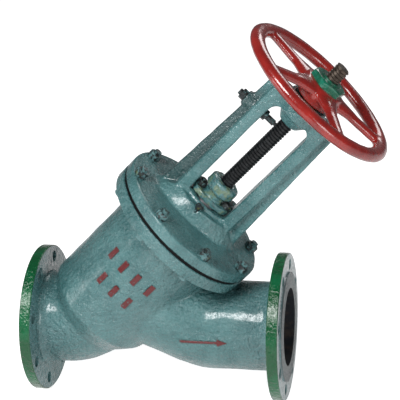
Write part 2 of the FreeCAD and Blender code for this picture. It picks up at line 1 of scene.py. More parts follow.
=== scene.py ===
# %% [markdown]
# A Y-pattern globe valve, dressed for its portrait
#
# The valve's working parts already exist as CAD solids: the casting, bonnet, stem, handwheel and
# every nut. This notebook loads them as a fixed frame and gives them their looks. A machined part
# keeps its CAD mesh and only gets a finish. A rough casting, a thread or a painted wheel is
# modelled again here, in the same place, because its charm is in shapes that CAD leaves plain.

# %% Load the frame
import json
import math

import bmesh
import bpy
from mathutils import Matrix, Vector, noise


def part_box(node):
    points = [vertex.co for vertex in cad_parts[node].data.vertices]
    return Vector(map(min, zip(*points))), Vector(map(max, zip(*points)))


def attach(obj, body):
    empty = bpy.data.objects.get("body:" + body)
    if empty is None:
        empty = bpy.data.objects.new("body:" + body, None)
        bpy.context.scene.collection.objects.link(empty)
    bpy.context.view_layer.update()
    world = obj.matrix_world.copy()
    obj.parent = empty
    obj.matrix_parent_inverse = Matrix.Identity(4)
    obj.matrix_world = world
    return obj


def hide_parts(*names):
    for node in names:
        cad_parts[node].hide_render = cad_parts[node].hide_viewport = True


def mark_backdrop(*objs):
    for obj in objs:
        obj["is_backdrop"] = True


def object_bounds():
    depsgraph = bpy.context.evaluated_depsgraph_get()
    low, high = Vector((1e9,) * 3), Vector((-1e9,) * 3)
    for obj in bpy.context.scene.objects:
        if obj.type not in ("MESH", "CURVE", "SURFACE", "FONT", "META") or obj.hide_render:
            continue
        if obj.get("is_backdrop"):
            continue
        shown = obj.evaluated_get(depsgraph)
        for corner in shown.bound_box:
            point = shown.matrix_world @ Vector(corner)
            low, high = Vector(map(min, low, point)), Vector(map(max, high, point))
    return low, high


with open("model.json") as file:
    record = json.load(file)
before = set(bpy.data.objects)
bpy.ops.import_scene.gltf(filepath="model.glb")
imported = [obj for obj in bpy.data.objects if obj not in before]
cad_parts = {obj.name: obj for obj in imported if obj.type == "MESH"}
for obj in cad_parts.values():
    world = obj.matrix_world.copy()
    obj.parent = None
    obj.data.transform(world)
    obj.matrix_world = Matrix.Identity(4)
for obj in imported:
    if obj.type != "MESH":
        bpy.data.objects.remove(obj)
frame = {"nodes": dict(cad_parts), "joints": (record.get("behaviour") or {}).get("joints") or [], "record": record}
nodes = frame["nodes"]
cad_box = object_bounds()

# %% [markdown]
# Where things are
#
# The stem leans over the pipe, so most pieces are round about a slanted axis. It is easier to
# model them upright, with z as the distance along the stem, and to lean them over at the end.
# The axis itself comes from the joint that the handwheel turns on, so it is never typed twice.

# %% The stem's own frame
joints = {joint["name"]: joint for joint in frame["joints"]}
turn = joints["handwheel_turn"]
STEM_AXIS = Vector(turn["axis"]).normalized()
WHEEL_CENTRE = Vector(turn["pos_m"])
STEM_FOOT = WHEEL_CENTRE - STEM_AXIS * (WHEEL_CENTRE.z / STEM_AXIS.z)
TIPPED = Vector((0, 0, 1)).rotation_difference(STEM_AXIS).to_matrix().to_4x4()
LEAN = Matrix.Translation(STEM_FOOT) @ TIPPED
UPRIGHT = LEAN.inverted()
couplings = frame["record"]["behaviour"]["couplings"]
RISE = next(c["ratio"] for c in couplings if c["joint"] == "stem_rise")
THREAD_PITCH = RISE * 2 * math.pi
print("stem foot", tuple(round(v, 4) for v in STEM_FOOT))
print("thread pitch", round(THREAD_PITCH * 1000, 2), "mm")


def along_stem(node):
    """Lowest and highest corner of a CAD node in the stem's frame."""
    points = [UPRIGHT @ v.co for v in nodes[node].data.vertices]
    low = Vector(min(p[i] for p in points) for i in range(3))
    high = Vector(max(p[i] for p in points) for i in range(3))
    return low, high


# %% [markdown]
# The camera and the studio
#
# The camera stands a long way off with a long lens, a little above the valve and a little to the
# outlet side, and is tipped over by under three degrees. Four large soft lights and a pale world
# give the enamel broad white reflections and no hard shadow.

# %% Camera
SENSOR = 36.0
LENS = 128.061
CAMERA_AZIMUTH = math.radians(12.26)
CAMERA_HEIGHT = math.radians(19.42)
CAMERA_ROLL = math.radians(-2.61)
CAMERA_DISTANCE = 2.681
CAMERA_TARGET = Vector((0.3357, 0.0, 0.2539))


def add_camera():
    data = bpy.data.cameras.new("camera")
    data.sensor_width = SENSOR
    data.lens = LENS
    camera = bpy.data.objects.new("camera", data)
    bpy.context.scene.collection.objects.link(camera)
    a, e = CAMERA_AZIMUTH, CAMERA_HEIGHT
    back = Vector((math.sin(a) * math.cos(e), -math.cos(a) * math.cos(e), math.sin(e)))
    right = Vector((math.cos(a), math.sin(a), 0))
    up = back.cross(right)
    facing = Matrix((right, up, back)).transposed().to_4x4()
    rolled = facing @ Matrix.Rotation(CAMERA_ROLL, 4, "Z")
    place = CAMERA_TARGET + back * CAMERA_DISTANCE
    camera.matrix_world = Matrix.Translation(place) @ rolled
    bpy.context.scene.camera = camera
    return camera


camera = add_camera()
print("lens", round(camera.data.lens, 1), "mm")

# %% Floor and lights
FLOOR_Z = cad_box[0][2]
AMBIENT = 0.10
BACKDROP = 1.15
FLOOR_GLOW = 0.95
FLOOR_BOUNCE = 0.34


def seen_apart(tree, lighting, seen):
    """A level that is one value for the light it casts and another where the camera sees it."""
    path = tree.nodes.new("ShaderNodeLightPath")
    level = tree.nodes.new("ShaderNodeMapRange")
    level.inputs["To Min"].default_value = lighting
    level.inputs["To Max"].default_value = seen
    tree.links.new(path.outputs["Is Camera Ray"], level.inputs["Value"])
    return level.outputs["Result"]


def add_floor():
    mesh = bpy.data.meshes.new("floor")
    shape = bmesh.new()
    bmesh.ops.create_grid(shape, x_segments=1, y_segments=1, size=6.0)
    bmesh.ops.translate(shape, verts=shape.verts, vec=(0, 0, FLOOR_Z))
    shape.to_mesh(mesh)
    shape.free()
    floor = bpy.data.objects.new("floor", mesh)
    bpy.context.scene.collection.objects.link(floor)
    paper = bpy.data.materials.new("paper")
    paper.use_nodes = True
    shader = paper.node_tree.nodes["Principled BSDF"]
    shader.inputs["Base Color"].default_value = (0.75, 0.75, 0.75, 1)
    shader.inputs["Roughness"].default_value = 0.9
    shader.inputs["Emission Color"].default_value = (1, 1, 1, 1)
    glow = seen_apart(paper.node_tree, FLOOR_BOUNCE, FLOOR_GLOW)
    paper.node_tree.links.new(glow, shader.inputs["Emission Strength"])
    mesh.materials.append(paper)
    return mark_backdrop(floor)


def add_softbox(name, place, width, height, watts):
    """A rectangular light at a place, looking at the valve's middle."""
    data = bpy.data.lights.new(name, "AREA")
    data.shape = "RECTANGLE"
    data.size = width
    data.size_y = height
    data.energy = watts
    light = bpy.data.objects.new(name, data)
    bpy.context.scene.collection.objects.link(light)
    facing = (CAMERA_TARGET - Vector(place)).to_track_quat("-Z", "Y")
    light.matrix_world = Matrix.Translation(place) @ facing.to_matrix().to_4x4()
    return light


add_floor()
add_softbox("key", (-0.28, -1.95, 2.05), 1.25, 0.85, 72)
add_softbox("left", (-2.5, -1.3, 0.3), 0.9, 0.9, 12)
add_softbox("right", (2.1, -1.7, 0.5), 0.9, 0.9, 18)
add_softbox("rim", (1.2, 1.9, 1.7), 0.9, 0.9, 10)
world = bpy.data.worlds.new("studio")
world.use_nodes = True
backdrop = world.node_tree.nodes["Background"]
backdrop.inputs["Color"].default_value = (0.95, 0.97, 1.0, 1)
strength = seen_apart(world.node_tree, AMBIENT, BACKDROP)
world.node_tree.links.new(strength, backdrop.inputs["Strength"])
bpy.context.scene.world = world
bpy.context.scene.view_settings.view_transform = "Standard"
print("floor at", round(FLOOR_Z, 4))

# %% [markdown]
# Copies of the CAD meshes
#
# A CAD mesh is loose triangles. A copy that is to be cut or melted together is welded first, and it
# can be stood upright, so that the stem runs along z. The frame's own mesh is never touched.

# %% Copy, stand upright, cut and finish
WELD = 1e-6
CREASE = math.radians(32)
SOFT_CREASE = math.radians(60)


def copy_of(node, upright=True):
    """A welded copy of a CAD node's mesh, upright along the stem or in place."""
    shape = bmesh.new()
    shape.from_mesh(nodes[node].data)
    bmesh.ops.remove_doubles(shape, verts=shape.verts, dist=WELD)
    if upright:
        shape.transform(UPRIGHT)
    return shape


def cut_away(shape, point, outward, close=True):
    """Cuts with a plane, drops what lies on the outward side and closes the cut."""
    everything = shape.verts[:] + shape.edges[:] + shape.faces[:]
    cut = bmesh.ops.bisect_plane(shape, geom=everything, dist=WELD, plane_co=point,
                                 plane_no=outward, clear_outer=True)["geom_cut"]
    rim = [e for e in cut if isinstance(e, bmesh.types.BMEdge) and e.is_valid]
    if rim and close:
        bmesh.ops.triangle_fill(shape, use_beauty=True, edges=rim, normal=outward)
    return shape


def add_to(shape, other):
    """Puts a second bmesh into the first."""
    carrier = bpy.data.meshes.new("carrier")
    other.to_mesh(carrier)
    other.free()
    shape.from_mesh(carrier)
    bpy.data.meshes.remove(carrier)
    return shape


def crease(shape, angle=CREASE):
    """Smooth shading, with a sharp edge wherever two faces meet steeply."""
    for face in shape.faces:
        face.smooth = True
    for edge in shape.edges:
        edge.smooth = edge.calc_face_angle(0.0) < angle
    return shape


def finished(shape, name, body, slot, material, *cad_nodes, inner=None):
    """Makes the object in place, rides it on its body and lets it stand for its CAD nodes."""
    mesh = bpy.data.meshes.new(name)
    shape.to_mesh(mesh)
    shape.free()
    piece = bpy.data.objects.new(name, mesh)
    bpy.context.scene.collection.objects.link(piece)
    mesh.materials.append(material)
    if inner:
        mesh.materials.append(inner)
    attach(piece, body)
    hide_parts(*cad_nodes)
    mesh.calc_loop_triangles()
    print(name, len(mesh.loop_triangles), "triangles on", body)
    return piece


# %% [markdown]
# Melting a casting together
#
# Sand castings have no sharp inside corners: where a pipe meets the neck, the metal flows over in a
# fillet. Modelling each fillet by hand would take long. A voxel remesh turns the whole casting into
# one even skin, and a few rounds of smoothing then soften every corner by about the voxel's size.
# A slow noise along the normals adds the slight waviness of the mould.

# %% Remesh, relax and wave
def melted(shape, voxel, rounds):
    """One even skin over a closed shape, relaxed by some rounds of smoothing."""
    mesh = bpy.data.meshes.new("rough")
    shape.to_mesh(mesh)
    shape.free()
    rough = bpy.data.objects.new("rough", mesh)
    bpy.context.scene.collection.objects.link(rough)
    skin = rough.modifiers.new("skin", "REMESH")
    skin.mode = "VOXEL"
    skin.voxel_size = voxel
    evaluated = rough.evaluated_get(bpy.context.evaluated_depsgraph_get())
    result = bmesh.new()
    result.from_mesh(evaluated.to_mesh())
    evaluated.to_mesh_clear()
    bpy.data.objects.remove(rough)
    bpy.data.meshes.remove(mesh)
    for _ in range(rounds):
        bmesh.ops.smooth_vert(result, verts=result.verts, factor=0.5,
                              use_axis_x=True, use_axis_y=True, use_axis_z=True)
    return result


def wavy(shape, depth, length, keep=None):
    """Moves the skin in and out along its normals by a slow noise."""
    shape.normal_update()
    moves = []
    for vert in shape.verts:
        if keep is None or keep(vert.co):
            moves.append((vert, vert.normal * (depth * noise.noise(vert.co / length))))
    for vert, move in moves:
        vert.co += move
    return shape


# %% [markdown]
# Shader maths in plain Python
#
# A material is a web of nodes, and maths on it reads badly as nodes. So an output socket is wrapped
# in a small class that knows plus, minus, times, over and a few comparisons, and each operator adds
# its Math node. Every other node comes from one method that takes a type, settings and inputs.

# %% The socket wrapper and the finish
class Wire:
    """An output socket that can be used in a Python expression."""

    def __init__(self, tree, socket):
        self.tree, self.socket = tree, socket

    def math(self, operation, *values, clamp=False):
        node = self.tree.nodes.new("ShaderNodeMath")
        node.operation = operation
        node.use_clamp = clamp
        for slot_in, value in zip(node.inputs, values):
            if isinstance(value, Wire):
                self.tree.links.new(value.socket, slot_in)
            else:
                slot_in.default_value = value
        return Wire(self.tree, node.outputs[0])

    def __add__(self, other): return self.math("ADD", self, other)
    def __radd__(self, other): return self.math("ADD", other, self)
    def __sub__(self, other): return self.math("SUBTRACT", self, other)
    def __rsub__(self, other): return self.math("SUBTRACT", other, self)
    def __mul__(self, other): return self.math("MULTIPLY", self, other)
    def __rmul__(self, other): return self.math("MULTIPLY", other, self)
    def __truediv__(self, other): return self.math("DIVIDE", self, other)
    def __rtruediv__(self, other): return self.math("DIVIDE", other, self)
    def __abs__(self): return self.math("ABSOLUTE", self)
    def root(self): return self.math("SQRT", self)
    def sine(self): return self.math("SINE", self)
    def clamped(self): return self.math("ADD", self, 0.0, clamp=True)
    def above(self, level, soft): return ((self - level) / soft).clamped()
    def below(self, level, soft): return ((level - self) / soft).clamped()


class Finish:
    """A Principled material whose nodes are written as calls."""

    def __init__(self, name, **constants):
        self.material = bpy.data.materials.new(name)
        self.material.use_nodes = True
        self.tree = self.material.node_tree
        self.shader = self.tree.nodes["Principled BSDF"]
        self.where = self.node("ShaderNodeTexCoord")["Object"]
        self.on_stem = self.node("ShaderNodeMapping", Vector=self.where,
                                 Rotation=tuple(UPRIGHT.to_euler()),
                                 Location=tuple(UPRIGHT.to_translation()))["Vector"]
        self.wear(**constants)

    def node(self, kind, settings=None, **inputs):
        """Adds a node, its settings first, and gives back its outputs by name."""
        node = self.tree.nodes.new(kind)
        for key, value in (settings or {}).items():
            setattr(node, key, value)
        sockets = {socket.name: socket for socket in node.inputs if socket.enabled}
        for key, value in inputs.items():
            self.plug(sockets[key.replace("_", " ")], value)
        return {o.name: Wire(self.tree, o) for o in node.outputs if o.enabled}

    def plug(self, socket, value):
        if isinstance(value, Wire):
            self.tree.links.new(value.socket, socket)
        else:
            socket.default_value = value

    def wear(self, **sockets):
        for key, value in sockets.items():
            self.plug(self.shader.inputs[key.replace("_", " ")], value)

    def noise(self, size, detail=2.0, rough=0.5):
        """Cloudy noise from 0 to 1 whose blobs are about size metres across."""
        return self.node("ShaderNodeTexNoise", Vector=self.where, Scale=1.0 / size,
                         Detail=detail, Roughness=rough)["Fac"]

    def mix(self, low, high, factor):
        """Colour from low to high by a factor."""
        return self.node("ShaderNodeMix", {"data_type": "RGBA"}, Factor=factor, A=low, B=high)["Result"]

    def split(self, vector):
        return self.node("ShaderNodeSeparateXYZ", Vector=vector)

    def bump(self, height, distance, strength=1.0):
        """Relief of about distance metres."""
        relief = self.node("ShaderNodeBump", Height=height, Distance=distance, Strength=strength)
        self.wear(Normal=relief["Normal"])


def rgb(red, green, blue):
    return (red, green, blue, 1.0)


# %% [markdown]
# Blue-grey enamel over a sand casting
#
# The castings are sprayed with a thick glossy enamel. The paint hides the colour of the iron but not
# its grain: the sand leaves millimetre bumps, and the gloss breaks up into small glints on them. The
# colour itself wanders a little, greener where it is thick and greyer where it is thin, with dirt in
# the low grain. On the body, the rims of the end flanges are green, their faces are bare machined
# iron with fine rings, and each of those zones is a mask on the place in the frame.

# %% Casting enamel
ENAMEL = rgb(0.076, 0.190, 0.194)
ENAMEL_THICK = rgb(0.042, 0.130, 0.135)
ENAMEL_THIN = rgb(0.140, 0.260, 0.268)
# Grime in the low grain and round the gland; the same colour also serves as the painted shade in the yoke's
# recess.
GRIME_AND_PAINTED_SHADE = rgb(0.014, 0.022, 0.022)
STAIN = rgb(0.200, 0.225, 0.075)
RIM_GREEN = rgb(0.001, 0.068, 0.020)
RIM_GREEN_PALE = rgb(0.002, 0.115, 0.040)
BARE_IRON = rgb(0.150, 0.165, 0.168)
FACE_PAINT = rgb(0.215, 0.275, 0.285)

# Depths are from a flange's outer end, and the rim's edge from its largest radius.
RIM_RADIUS = -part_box("body")[0][2]
BODY_GRAIN = 0.0017
RIM_EDGE = 0.0022
RIM_DEPTH = 0.0262
FACE_DEPTH = 0.0036
RAISED_DEPTH = 0.0012
FACE_RING = 0.0016

# The recess behind the left arm's flange, in the stem's frame, where the bonnet gets painted shade.
ARM_STEP = 0.0672
ARM_RECESS = 0.018
ARM_FOOT = along_stem("bonnet_nuts")[1].z - 0.004
ARM_HEAD = along_stem("wheel_nut")[0].z - 0.075


def casting_enamel(name):
    """The enamel's finish, with its colour, relief, roughness, coat and clouds so far."""
    paint = Finish(name, Specular_IOR_Level=0.5, Coat_Roughness=0.15, Coat_IOR=1.5)
    cloud = paint.noise(0.055, 3.0, 0.55)
    drift = paint.noise(0.16, 2.0)
    sand = paint.noise(0.0042, 3.0, 0.62)
    fine = paint.noise(0.0016, 2.0, 0.5)
    colour = paint.mix(ENAMEL_THICK, ENAMEL, cloud.above(0.35, 0.25))
    colour = paint.mix(colour, ENAMEL_THIN, drift.above(0.5, 0.3) * 0.40)
    colour = paint.mix(colour, ENAMEL_THIN, sand.above(0.60, 0.10) * 0.35)
    colour = paint.mix(colour, GRIME_AND_PAINTED_SHADE, sand.below(0.40, 0.12) * 0.28)
    hammer = paint.noise(0.0085, 2.0, 0.5)
    height = sand * 1.6 + fine * 0.15 + hammer * 3.4 + cloud * 2.5
    gloss = sand.above(0.44, 0.16) * 0.30 + 0.10
    coat = sand.below(0.56, 0.12) * 0.5 + 0.25
    return paint, colour, height, gloss, coat, cloud


def flange_zones(x, y, z):
    """Masks of the end flanges: how near an end, and the distance from the pipe's axis."""
    (low, _, _), (high, _, _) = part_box("body")
    end = abs(x - (low + high) / 2) - (high - low) / 2
    return end, (y * y + z * z).root()


def body_enamel():
    paint, colour, height, gloss, coat, cloud = casting_enamel("body_enamel")
    parts = paint.split(paint.where)
    end, radius = flange_zones(parts["X"], parts["Y"], parts["Z"])
    ragged = (paint.noise(0.012, 3.0, 0.6) - 0.5) * 0.003
    rim = (radius + ragged).above(RIM_RADIUS - RIM_EDGE, 0.0006) * end.above(-RIM_DEPTH, 0.0006)
    face = end.above(-FACE_DEPTH, 0.0002)
    raised = face * end.above(-RAISED_DEPTH, 0.0004)
    green = paint.mix(RIM_GREEN, RIM_GREEN_PALE, cloud.above(0.45, 0.2))
    worn = paint.noise(0.02, 4.0, 0.6).above(0.5, 0.12)
    painted_face = paint.mix(FACE_PAINT, ENAMEL_THIN, worn)
    scratches = paint.noise(0.03, 4.0, 0.65).above(0.5, 0.1) * 0.5
    scratched = paint.mix(BARE_IRON, FACE_PAINT, scratches)
    colour = paint.mix(colour, painted_face, face)
    colour = paint.mix(colour, scratched, raised)
    colour = paint.mix(colour, green, rim)
    rings = (radius * (2 * math.pi / FACE_RING)).sine()
    height = height * (1.0 - face * 0.85) * (1.0 - rim * 0.55) + rings * raised * 0.12
    paint.bump(height, BODY_GRAIN)
    paint.wear(Base_Color=colour, Roughness=gloss * (1.0 - rim * 0.35) + raised * 0.2,
               Metallic=raised * 0.7, Coat_Weight=coat * (1.0 - raised) * (1.0 - rim * 0.5))
    return paint.material


def plain_enamel(name, grain, painted_shade=0.0, stained=0.0):
    """Enamel all over, with a grain so many metres deep.

    The far recess behind the yoke's left arm flange is darkened as painted shade.
    Round the gland, grease and packing oil have stained the paint yellow-green and black.
    """
    paint, colour, height, gloss, coat, _ = casting_enamel(name)
    if painted_shade:
        at = paint.split(paint.on_stem)
        # Painted shade: the bonnet's colour is darkened in the recess behind the left arm's flange, from the arm's
        # foot to its head, where shadow falls.
        painted_recess_shade = (at["X"] * -1.0).above(ARM_STEP, 0.0015) * abs(at["Y"]).below(ARM_RECESS, 0.003)
        painted_recess_shade = painted_recess_shade * at["Z"].above(ARM_FOOT, 0.01) * at["Z"].below(ARM_HEAD, 0.03)
        colour = paint.mix(colour, GRIME_AND_PAINTED_SHADE, painted_recess_shade * painted_shade)
    if stained:
        blot = paint.noise(0.016, 3.0, 0.65)
        colour = paint.mix(colour, STAIN, blot.above(0.52, 0.08) * stained)
        colour = paint.mix(colour, GRIME_AND_PAINTED_SHADE, blot.below(0.42, 0.05) * stained)
    paint.bump(height, grain)
    paint.wear(Base_Color=colour, Roughness=gloss, Coat_Weight=coat)
    return paint.material


body_paint = body_enamel()
# The bonnet is given painted shade in the recess behind its left arm.
bonnet_paint = plain_enamel("bonnet_enamel", 0.0012, painted_shade=0.62)
gland_paint = plain_enamel("gland_enamel", 0.0009, stained=0.45)
print("enamel on rims beyond", round(RIM_RADIUS, 4), "m from the pipe's axis")


# %% [markdown]
# Dark inside
#
# Inside, the casting only gets a thin dark primer, dull and a little rusty, and its near-black
# colour is painted shade, so the bore reads as a deep shadow.

# %% Bore primer
def make_bore_primer_and_shade():
    primer = Finish("make_bore_primer_and_shade", Specular_IOR_Level=0.3)
    patch = primer.noise(0.018, 4.0, 0.6)
    sand = primer.noise(0.003, 3.0, 0.6)
    # Primer and painted shade: the colour is kept nearly black so the bore reads as shadow.
    colour = primer.mix(rgb(0.012, 0.015, 0.020), rgb(0.040, 0.032, 0.028), patch.above(0.5, 0.15))
    primer.bump(sand, 0.0006)
    primer.wear(Base_Color=colour, Roughness=sand * 0.3 + 0.5)
    return primer.material


bore_primer_and_painted_shade = make_bore_primer_and_shade()

# %% [markdown]
# The valve body
#
# The body is one big casting: the inlet elbow, the round chamber and the outlet pipe run into each
# other with soft valleys, while the three flanges are turned on a lathe and stay crisp. So the
# middle is melted together from the CAD mesh, and slices of the same CAD mesh, cut off square just
# behind each flange, make the flanges. The cover's plane would also cut the outlet flange, so the
# melted middle is parted on the outlet pipe first and welded again afterwards.

# %% Body casting
CASTING_VOXEL = 0.0031
FLANGE_SLICE = 0.026
BEHIND_COVER = 0.45
COVER_SLICE = 0.0255
BORE_REACH = 0.1
CHAMBER_LENGTH = 0.31
OUTLET_LEVEL_X = 0.3385
OUTLET_DROP = math.radians(22.7)
OUTLET_DROP_LENGTH = 0.2
TOWARDS_OUTLET = Vector((1, 0, 0))

(body_low_x, _, _), (body_high_x, _, _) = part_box("body")
cover_low = along_stem("bonnet_gasket")[0].z
inlet_seam = Vector((body_low_x + FLANGE_SLICE, 0, 0))
outlet_seam = Vector((body_high_x - FLANGE_SLICE, 0, 0))
part_line = Vector((BEHIND_COVER, 0, 0))


def flange_slices():
    """The turned slices of both end flanges and of the cover flange."""
    inlet = cut_away(copy_of("body", False), inlet_seam, TOWARDS_OUTLET)
    outlet = cut_away(copy_of("body", False), outlet_seam, -TOWARDS_OUTLET)
    cover = cut_away(copy_of("body"), Vector((0, 0, cover_low - COVER_SLICE)), Vector((0, 0, -1)))
    cover.transform(LEAN)
    cut_away(cover, part_line, TOWARDS_OUTLET)
    return add_to(add_to(inlet, outlet), cover)


def bore_runs():
    """The middle lines of the passages, as pairs of end points."""
    drop_start = Vector((OUTLET_LEVEL_X, 0, 0))
    slope = Vector((-math.cos(OUTLET_DROP), 0, math.sin(OUTLET_DROP)))
    return [(Vector((body_low_x, 0, 0)), STEM_FOOT),
            (STEM_FOOT, STEM_FOOT + STEM_AXIS * CHAMBER_LENGTH),
            (Vector((body_high_x, 0, 0)), drop_start),
            (drop_start, drop_start + slope * OUTLET_DROP_LENGTH)]


def mark_inside(shape):
    """Gives the second material to the faces that look towards a passage's middle line."""
    runs = bore_runs()
    middle_x = (body_low_x + body_high_x) / 2
    reach_x = (body_high_x - body_low_x) / 2 - 0.0005
    shape.normal_update()
    inside = 0
    for face in shape.faces:
        centre = face.calc_center_median()
        spokes = []
        for start, end in runs:
            along = (centre - start).dot(end - start) / (end - start).length_squared
            spokes.append(centre - start.lerp(end, min(max(along, 0.0), 1.0)))
        spoke = min(spokes, key=lambda s: s.length)
        off_the_ends = abs(centre.x - middle_x) < reach_x
        looks_in = face.normal.dot(spoke) < -0.3 * spoke.length
        if spoke.length < BORE_REACH and looks_in and off_the_ends:
            face.material_index = 1
            inside += 1
    print(inside, "faces inside")


def body_casting():
    margin = FLANGE_SLICE * 1.5
    middle = melted(copy_of("body", False), CASTING_VOXEL, 2)
    middle = wavy(middle, 0.0008, 0.03, lambda at: margin < at.x < body_high_x - margin)
    outlet_end = middle.copy()
    cut_away(middle, inlet_seam, -TOWARDS_OUTLET)
    cut_away(middle, part_line, TOWARDS_OUTLET, close=False)
    cut_away(middle, STEM_FOOT + STEM_AXIS * (cover_low - COVER_SLICE), STEM_AXIS)
    cut_away(outlet_end, part_line, -TOWARDS_OUTLET, close=False)
    cut_away(outlet_end, outlet_seam, TOWARDS_OUTLET)
    middle = add_to(middle, outlet_end)
    bmesh.ops.remove_doubles(middle, verts=middle.verts, dist=WELD)
    casting = add_to(crease(flange_slices()), crease(middle, SOFT_CREASE))
    mark_inside(casting)
    return finished(casting, "body_casting", "valve_body", "casting_paint", body_paint, "body",
                    inner=bore_primer_and_painted_shade)


body_casting()

# %% [markdown]
# Bonnet and yoke
#
# The bonnet plate, the pad, the two arms and the hub are one casting too. The arms grow out of the
# pad in wide fillets. The plate's rim and underside are turned, so they are a crisp slice again.

# %% Bonnet casting
BONNET_VOXEL = 0.0021
RIM_SLICE = 0.016


def bonnet_casting():
    under = along_stem("bonnet_gasket")[1].z
    seam = Vector((0, 0, under + RIM_SLICE))
    upper = melted(copy_of("bonnet_yoke"), BONNET_VOXEL, 3)
    upper = cut_away(upper, seam, Vector((0, 0, -1)))
    upper = wavy(upper, 0.0007, 0.028, lambda at: at.z > seam.z + 0.003)
    lower = cut_away(copy_of("bonnet_yoke"), seam, Vector((0, 0, 1)))
    casting = add_to(crease(lower), crease(upper, SOFT_CREASE))
    casting.transform(LEAN)
    return finished(casting, "bonnet_casting", "valve_body", "casting_paint", bonnet_paint,
                    "bonnet_yoke")


bonnet_casting()

# %% [markdown]
# Gland bridge
#
# The small bridge that presses on the packing is a rough casting as well, with a fat round collar.

# %% Gland casting
GLAND_VOXEL = 0.0011


def gland_casting():
    casting = wavy(melted(copy_of("gland_flange"), GLAND_VOXEL, 6), 0.0013, 0.010)
    casting.transform(LEAN)
    return finished(crease(casting, SOFT_CREASE), "gland_casting", "valve_body", "casting_paint",
                    gland_paint, "gland_flange")


gland_casting()


# %% [markdown]
# Raised marks, touched up in red
#
# Founders cast the rating and the flow arrow proud of the skin, and the painter dabs them red with a
# small brush. Here the rating is only rows of plain bars. The paint misses a few spots, so a noise
# lets the enamel through here and there.

# %% Marks
MARK_VOXEL = 0.0008


def mark_paint():
    paint = Finish("mark_red", Specular_IOR_Level=0.5, Coat_Roughness=0.15)
    dab = paint.noise(0.006, 4.0, 0.7)
    sand = paint.noise(0.0030, 3.0, 0.6)
    red = paint.mix(rgb(0.15, 0.006, 0.007), rgb(0.06, 0.004, 0.005), dab)
    colour = paint.mix(red, ENAMEL, dab.above(0.60, 0.05) * 0.8)
    paint.bump(sand + dab, 0.0004)
    paint.wear(Base_Color=colour, Roughness=sand * 0.2 + 0.25, Coat_Weight=0.3)
    return paint.material


marks = crease(melted(copy_of("cast_marks", False), MARK_VOXEL, 6), SOFT_CREASE)
finished(marks, "raised_marks", "valve_body", "mark_red", mark_paint(), "cast_marks")


# %% [markdown]
# The handwheel
#
# A cast wheel with five oval spokes that swell where they meet rim and hub. The melt gives those
# swellings. Its red enamel is dipped on, thick and glossy, darker where it pools.

# %% Handwheel
WHEEL_VOXEL = 0.0017


def wheel_enamel():
    paint = Finish("wheel_enamel", Specular_IOR_Level=0.5, Coat_Roughness=0.08, Coat_IOR=1.5)
    cloud = paint.noise(0.04, 3.0, 0.55)
    sag = paint.noise(0.009, 2.0, 0.5)
    fine = paint.noise(0.0022, 2.0, 0.5)
    colour = paint.mix(rgb(0.200, 0.008, 0.006), rgb(0.310, 0.016, 0.011), cloud.above(0.35, 0.3))
    pooled = paint.noise(0.015, 4.0, 0.7).below(0.35, 0.08) * 0.8
    colour = paint.mix(colour, rgb(0.045, 0.004, 0.004), pooled)
    paint.bump(sag + fine * 0.25, 0.0006)
    paint.wear(Base_Color=colour, Roughness=sag * 0.16 + 0.18, Coat_Weight=0.7)
    return paint.material


wheel = wavy(melted(copy_of("handwheel"), WHEEL_VOXEL, 14), 0.0004, 0.02)
wheel.transform(LEAN)
finished(crease(wheel, SOFT_CREASE), "red_wheel", "handwheel_set", "wheel_red", wheel_enamel(),
         "handwheel")

# %% [markdown]
# Threads
#
# A thread is a profile one pitch tall, spun round the axis while it climbs. bmesh's spin does that
# with its dvec, the climb per step. Each turn starts where the last one ended, so welding the
# doubles closes the skin, and two cuts give it flat ends. The stem's thread is left-handed: the
# wheel turns anticlockwise to lift it, so its spin goes the other way round.

# %% Thread helper
STEPS_PER_TURN = 32
THREAD_CREASE = math.radians(28)
THREAD_PROFILE = [(1.0, 0.0), (1.0, 0.32), (0.0, 0.46), (0.0, 0.84), (1.0, 1.0)]


def thread(radius, depth, pitch, low, high, hand=1):
    """A closed threaded bar upright on the origin, hand 1 for right and -1 for left."""
    shape = bmesh.new()
    verts = [shape.verts.new((radius - depth * sunk, 0, low + (level - 2) * pitch))
             for sunk, level in THREAD_PROFILE]
    edges = [shape.edges.new(pair) for pair in zip(verts, verts[1:])]
    turns = math.ceil((high - low) / pitch) + 3
    bmesh.ops.spin(shape, geom=verts + edges, cent=(0, 0, 0), axis=(0, 0, 1),
                   dvec=(0, 0, pitch / STEPS_PER_TURN), angle=hand * 2 * math.pi * turns,
                   steps=STEPS_PER_TURN * turns, use_merge=False)
    bmesh.ops.remove_doubles(shape, verts=shape.verts, dist=depth * 0.05)
    cut_away(shape, Vector((0, 0, low)), Vector((0, 0, -1)))
    cut_away(shape, Vector((0, 0, high)), Vector((0, 0, 1)))
    bmesh.ops.recalc_face_normals(shape, faces=shape.faces)
    return shape


def pieces_of(node):
    """Each separate solid of a CAD node, upright, as (centre x, centre y, low z, high z)."""
    shape = copy_of(node)
    left = set(shape.verts)
    found = []
    while left:
        group, front = set(), [left.pop()]
        while front:
            vert = front.pop()
            group.add(vert)
            for edge in vert.link_edges:
                other = edge.other_vert(vert)
                if other in left:
                    left.discard(other)
                    front.append(other)
        xs, ys, zs = ([v.co[i] for v in group] for i in range(3))
        found.append(((min(xs) + max(xs)) / 2, (min(ys) + max(ys)) / 2, min(zs), max(zs)))
    shape.free()
    return sorted(found)


def rod_radius(node, above):
    """Radius of a node's solids at their tops, from the vertices up to so far below them."""
    shape = copy_of(node)
    tall = max(v.co.z for v in shape.verts)
    places = pieces_of(node)
    near = [v.co for v in shape.verts if v.co.z > tall - above]
    radius = max(min(math.hypot(p.x - x, p.y - y) for x, y, _, _ in places) for p in near)
    shape.free()
    return radius


print(len(pieces_of("bonnet_bolts")), "bonnet bolts")

